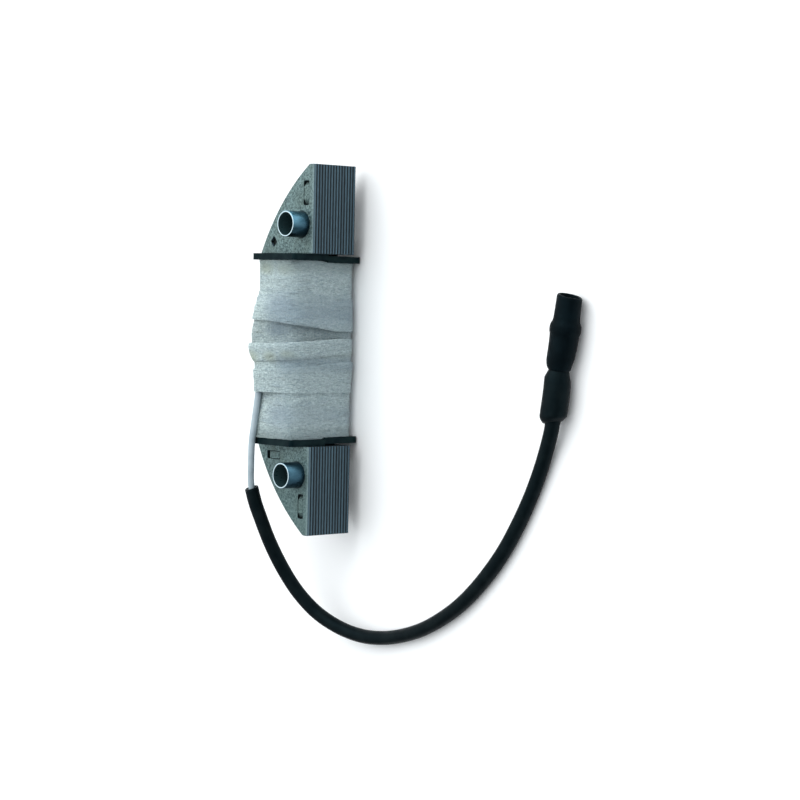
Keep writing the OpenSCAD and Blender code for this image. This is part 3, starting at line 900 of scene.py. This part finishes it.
def make_band(name, profile, table, thick, ruffle, seed, finish):
    """A tape wrapped once round: profile(j) gives its (x, lift) run across the width at direction j."""
    columns = []
    widths = []
    for j in range(ROUND_COUNT):
        line = ruffled(curve_through(profile(j)), j, ruffle, seed)
        slope = np.gradient(line, axis=0)
        slope /= np.maximum(np.linalg.norm(slope, axis=1), 1e-9)[:, None]
        normal = np.stack([slope[:, 1], -slope[:, 0]], axis=1)
        outer = line + normal * thick / 2
        inner = line - normal * thick / 2
        loop = np.concatenate([outer, inner[::-1]])
        columns.append(surface_point(table, loop[:, 0], loop[:, 1], j))
        run = np.concatenate([[0], np.cumsum(np.linalg.norm(np.diff(line, axis=0), axis=1))])
        widths.append(np.concatenate([run, run[::-1]]))
    rings = np.array(columns).transpose(1, 0, 2) * MM
    widths = np.array(widths).T
    weave = np.zeros((rings.shape[0] + 1, ROUND_COUNT + 1, 2))
    weave[:, :, 0] = RUNS
    weave[:-1, :-1, 1] = widths
    weave[:-1, -1, 1] = widths[:, 0]
    weave[-1] = weave[0]
    return grid_object(name, rings, finish, closed=True, crease=50.0, weave=weave)


FLANGE_THICK = 1.8
FLANGE_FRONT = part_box("bobbin_front_half")[1][0] / MM - FLANGE_THICK
FLANGE_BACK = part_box("bobbin_back_half")[1][0] / MM - FLANGE_THICK
FLANGE_GAP = 0.05
SHELF_POINTS = 10
SHELF_LIFT = -0.2
SHELF_WAVES = 0.04
SHELF_EDGE_LIFT = 0.12


def shelf(way):
    """A flat turn that butts against a flange: way is 1 for the upper flange and -1 for the lower one."""

    def profile(j):
        in_front = 0.5 + 0.5 * math.tanh(6.0 * math.sin(DIRECTIONS[j]))
        start = FLANGE_BACK + (FLANGE_FRONT - FLANGE_BACK) * in_front - FLANGE_GAP
        xs = np.linspace(start, start - TAPE_WIDTH, SHELF_POINTS)
        lifts = [SHELF_LIFT + SHELF_WAVES * math.sin(1.7 * x + 0.05 * j) for x in xs]
        lifts[0] += SHELF_EDGE_LIFT
        pairs = [(way * x, lift) for x, lift in zip(xs, lifts)]
        return pairs if way > 0 else pairs[::-1]

    return profile


def inner_turn(j):
    """The turn seen at the bottom of the hollow between the upper and middle wraps."""
    sunk = 0.15 * FACING[j] + 0.45 * STRAIGHT_SIDE[j]
    return [
        (12.4, -0.12), (10, -0.12), (8, -0.12 - 0.5 * sunk), (6, -0.12 - sunk), (4.4, -0.12 - sunk),
        (2.8, -0.12 - 0.9 * sunk), (1.2, -0.14), (-1.0, -0.14), (-2.6, -0.14),
    ]


def upper_wrap(j):
    """Laps the top turn, and its lower edge is doubled under and stands off the hollow."""
    near = CORNER_NEARNESS[j]
    top = 13.8 + 2.2 * near
    low = 5.2 + 3.1 * near
    lip = 0.06 + 0.75 * FACING[j] + 0.2 * STRAIGHT_SIDE[j]
    return [
        (top, 0.13), (top - 0.8, 0.17), (top - 2.6, 0.18), (low + 4.6, 0.20), (low + 2.6, 0.26 + 0.4 * lip),
        (low + 0.9, 0.28 + 0.8 * lip), (low + 0.15, 0.24 + 0.8 * lip), (low, 0.12 + 0.72 * lip),
        (low + 0.3, 0.0 + 0.6 * lip), (low + 1.6, 0.0 + 0.3 * lip), (low + 3.6, -0.02), (low + 6.0, -0.02),
    ]


def middle_wrap(j):
    """Its upper edge is rolled into a ridge that catches the light and hangs over a fold below."""
    near = CORNER_NEARNESS[j]
    top = 3.05 - 1.6 * near
    ridge = 0.1 + 0.95 * FACING[j] + 0.25 * near
    fold = top - 4.4 - 0.5 * near
    return [
        (top - 1.6, 0.08), (top - 0.5, 0.12), (top, 0.22 + 0.25 * ridge), (top - 0.15, 0.2 + 0.8 * ridge),
        (top - 0.9, 0.2 + 1.05 * ridge), (top - 2.0, 0.2 + ridge), (fold + 1.2, 0.2 + 0.85 * ridge),
        (fold + 0.3, 0.18 + 0.6 * ridge), (fold, 0.16 + 0.35 * ridge), (fold - 0.1, 0.14 + 0.1 * ridge),
        (fold - 0.9, 0.10), (-4.2, 0.12), (-5.5, 0.08), (-7.0, 0.0), (-8.8, -0.02), (-10.6, -0.02),
    ]


def lower_wrap(j):
    """The last wrap, hemmed at its upper edge; the wire comes out from under its lower edge."""
    near = CORNER_NEARNESS[j]
    top = -3.5 - 2.3 * near
    hem = 0.36 - 0.1 * near
    return [
        (-11.9, 0.16), (-11.0, 0.2), (-9.4, 0.22), (top - 2.4, 0.2 + 0.6 * hem), (top - 0.8, 0.2 + hem),
        (top - 0.12, 0.2 + 0.85 * hem), (top, 0.17 + 0.6 * hem), (top - 0.15, 0.15 + 0.3 * hem),
        (top - 1.2, 0.12 + 0.2 * hem), (top - 2.6, 0.14), (top - 4.0, 0.08), (-11.2, 0.0),
    ]


def wrapped(name, profile, table, thick, ruffle, seed, stands_for, finish="white_tape"):
    """A band of tape pulled tight, in place of its CAD node."""
    band = make_band(name, profile, table, thick, ruffle, seed, finish)
    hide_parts(*stands_for)


wrapped("tape_top_turn", shelf(1), HIGH_SECTION, DOUBLED_THICK, 0.07, 3.0,
        ["tape_base_wrap"])
wrapped("tape_bottom_turn", shelf(-1), LOW_SECTION, DOUBLED_THICK, 0.07, 11.0,
        ["tape_base_wrap"])
# The inner turn at the bottom of the hollow takes the darker copy: painted shade
wrapped("tape_inner_turn", inner_turn, LUMPY, TAPE_THICK, 0.05, 19.0,
        ["tape_base_wrap"], "hollow_shade_tape")
wrapped("tape_upper_wrap_visual", upper_wrap, LUMPY, TAPE_THICK, 0.10, 27.0,
        ["tape_upper_wrap"])
wrapped("tape_middle_wrap_visual", middle_wrap, LUMPY, TAPE_THICK, 0.06, 35.0,
        ["tape_middle_wrap"])
wrapped("tape_lower_wrap_visual", lower_wrap, LUMPY, TAPE_THICK, 0.07, 43.0,
        ["tape_lower_wrap"])


# ---------------------------------------------------------------- the CAD's own pieces

EDGE_ROUNDING = {
    "lamination_steel": 0.17,
    "zinc_collar": 0.06,
    "bobbin_black": 0.18,
}
FRONT_SHEET_ROUNDING = 0.28
WELD_WITHIN = 0.001 * MM
SHARP_OVER = math.radians(35.0)


def soften(obj, width):
    """Rounds a CAD piece's sharp edges a little, as the real ones are."""
    weld = obj.modifiers.new("weld", "WELD")
    weld.merge_threshold = WELD_WITHIN
    bevel = obj.modifiers.new("edges", "BEVEL")
    bevel.width = width * MM
    bevel.segments = 2
    bevel.limit_method = "ANGLE"
    bevel.angle_limit = SHARP_OVER


slots = {row["node"]: row.get("material_slot") for row in frame["record"]["subparts"]}
for node_name, obj in frame["nodes"].items():
    finish = slots[node_name]
    obj.data.materials.clear()
    obj.data.materials.append(FINISHES[finish])
    if node_name == LAMINATIONS[-1]:
        soften(obj, FRONT_SHEET_ROUNDING)
    elif finish in EDGE_ROUNDING:
        soften(obj, EDGE_ROUNDING[finish])


# ---------------------------------------------------------------- floor and light

FLOOR_SIZE = 6.0
KEY_PLACE = Vector((0.60, 0.10, 0.88))
KEY_AIM = Vector((-0.01, -0.03, 0.0))
KEY_UP = Vector((0.3, 1.0, 0.2))
KEY_SIZE = 1.1
KEY_WATTS = 6.0
SKY_BRIGHTEST = Vector((0.5, 0.2, 0.84))
SKY_LOW = 0.26
SKY_HIGH = 1.36
# Cosines of the angle from the brightest way between which the sky goes from low to high
SKY_SPREAD = (-0.1, 0.8)


def make_floor():
    """A plain pale floor under everything."""
    mesh = bpy.data.meshes.new("floor")
    half = FLOOR_SIZE / 2
    corners = [(x * half, y * half, TABLE_Z) for x, y in ((-1, -1), (1, -1), (1, 1), (-1, 1))]
    mesh.from_pydata(corners, [], [(0, 1, 2, 3)])
    f = Finish("floor", (0.9, 0.93, 0.94), 0.9, Specular_IOR_Level=0.1)
    f.colour(f.blend(f.noise(0.004, 2.0), (0.95, 0.965, 0.97), (0.965, 0.975, 0.98)))
    mesh.materials.append(f.made)
    floor = bpy.data.objects.new("floor", mesh)
    bpy.context.scene.collection.objects.link(floor)


def make_key_light():
    """One soft lamp, high on the upper pole's side."""
    data = bpy.data.lights.new("key", "AREA")
    data.shape = "SQUARE"
    data.size = KEY_SIZE
    data.energy = KEY_WATTS
    lamp = bpy.data.objects.new("key", data)
    bpy.context.scene.collection.objects.link(lamp)
    lamp.matrix_world = aimed(KEY_PLACE, KEY_AIM, KEY_UP)


def make_sky():
    """A big soft dome: brightest over the upper pole's curved side, and dim low down on the other side."""
    world = bpy.data.worlds.new("studio")
    world.use_nodes = True
    tree = world.node_tree
    coordinates = tree.nodes.new("ShaderNodeTexCoord")
    towards = tree.nodes.new("ShaderNodeVectorMath")
    towards.operation = "DOT_PRODUCT"
    towards.inputs[1].default_value = SKY_BRIGHTEST.normalized()
    spread = tree.nodes.new("ShaderNodeMapRange")
    spread.interpolation_type = "SMOOTHSTEP"
    for socket, value in zip(spread.inputs[1:5], (*SKY_SPREAD, SKY_LOW, SKY_HIGH)):
        socket.default_value = value
    background = tree.nodes["Background"]
    background.inputs["Color"].default_value = (0.95, 0.98, 1.0, 1.0)
    tree.links.new(coordinates.outputs["Generated"], towards.inputs[0])
    tree.links.new(towards.outputs["Value"], spread.inputs[0])
    tree.links.new(spread.outputs[0], background.inputs["Strength"])
    bpy.context.scene.world = world


make_floor()
make_key_light()
make_sky()
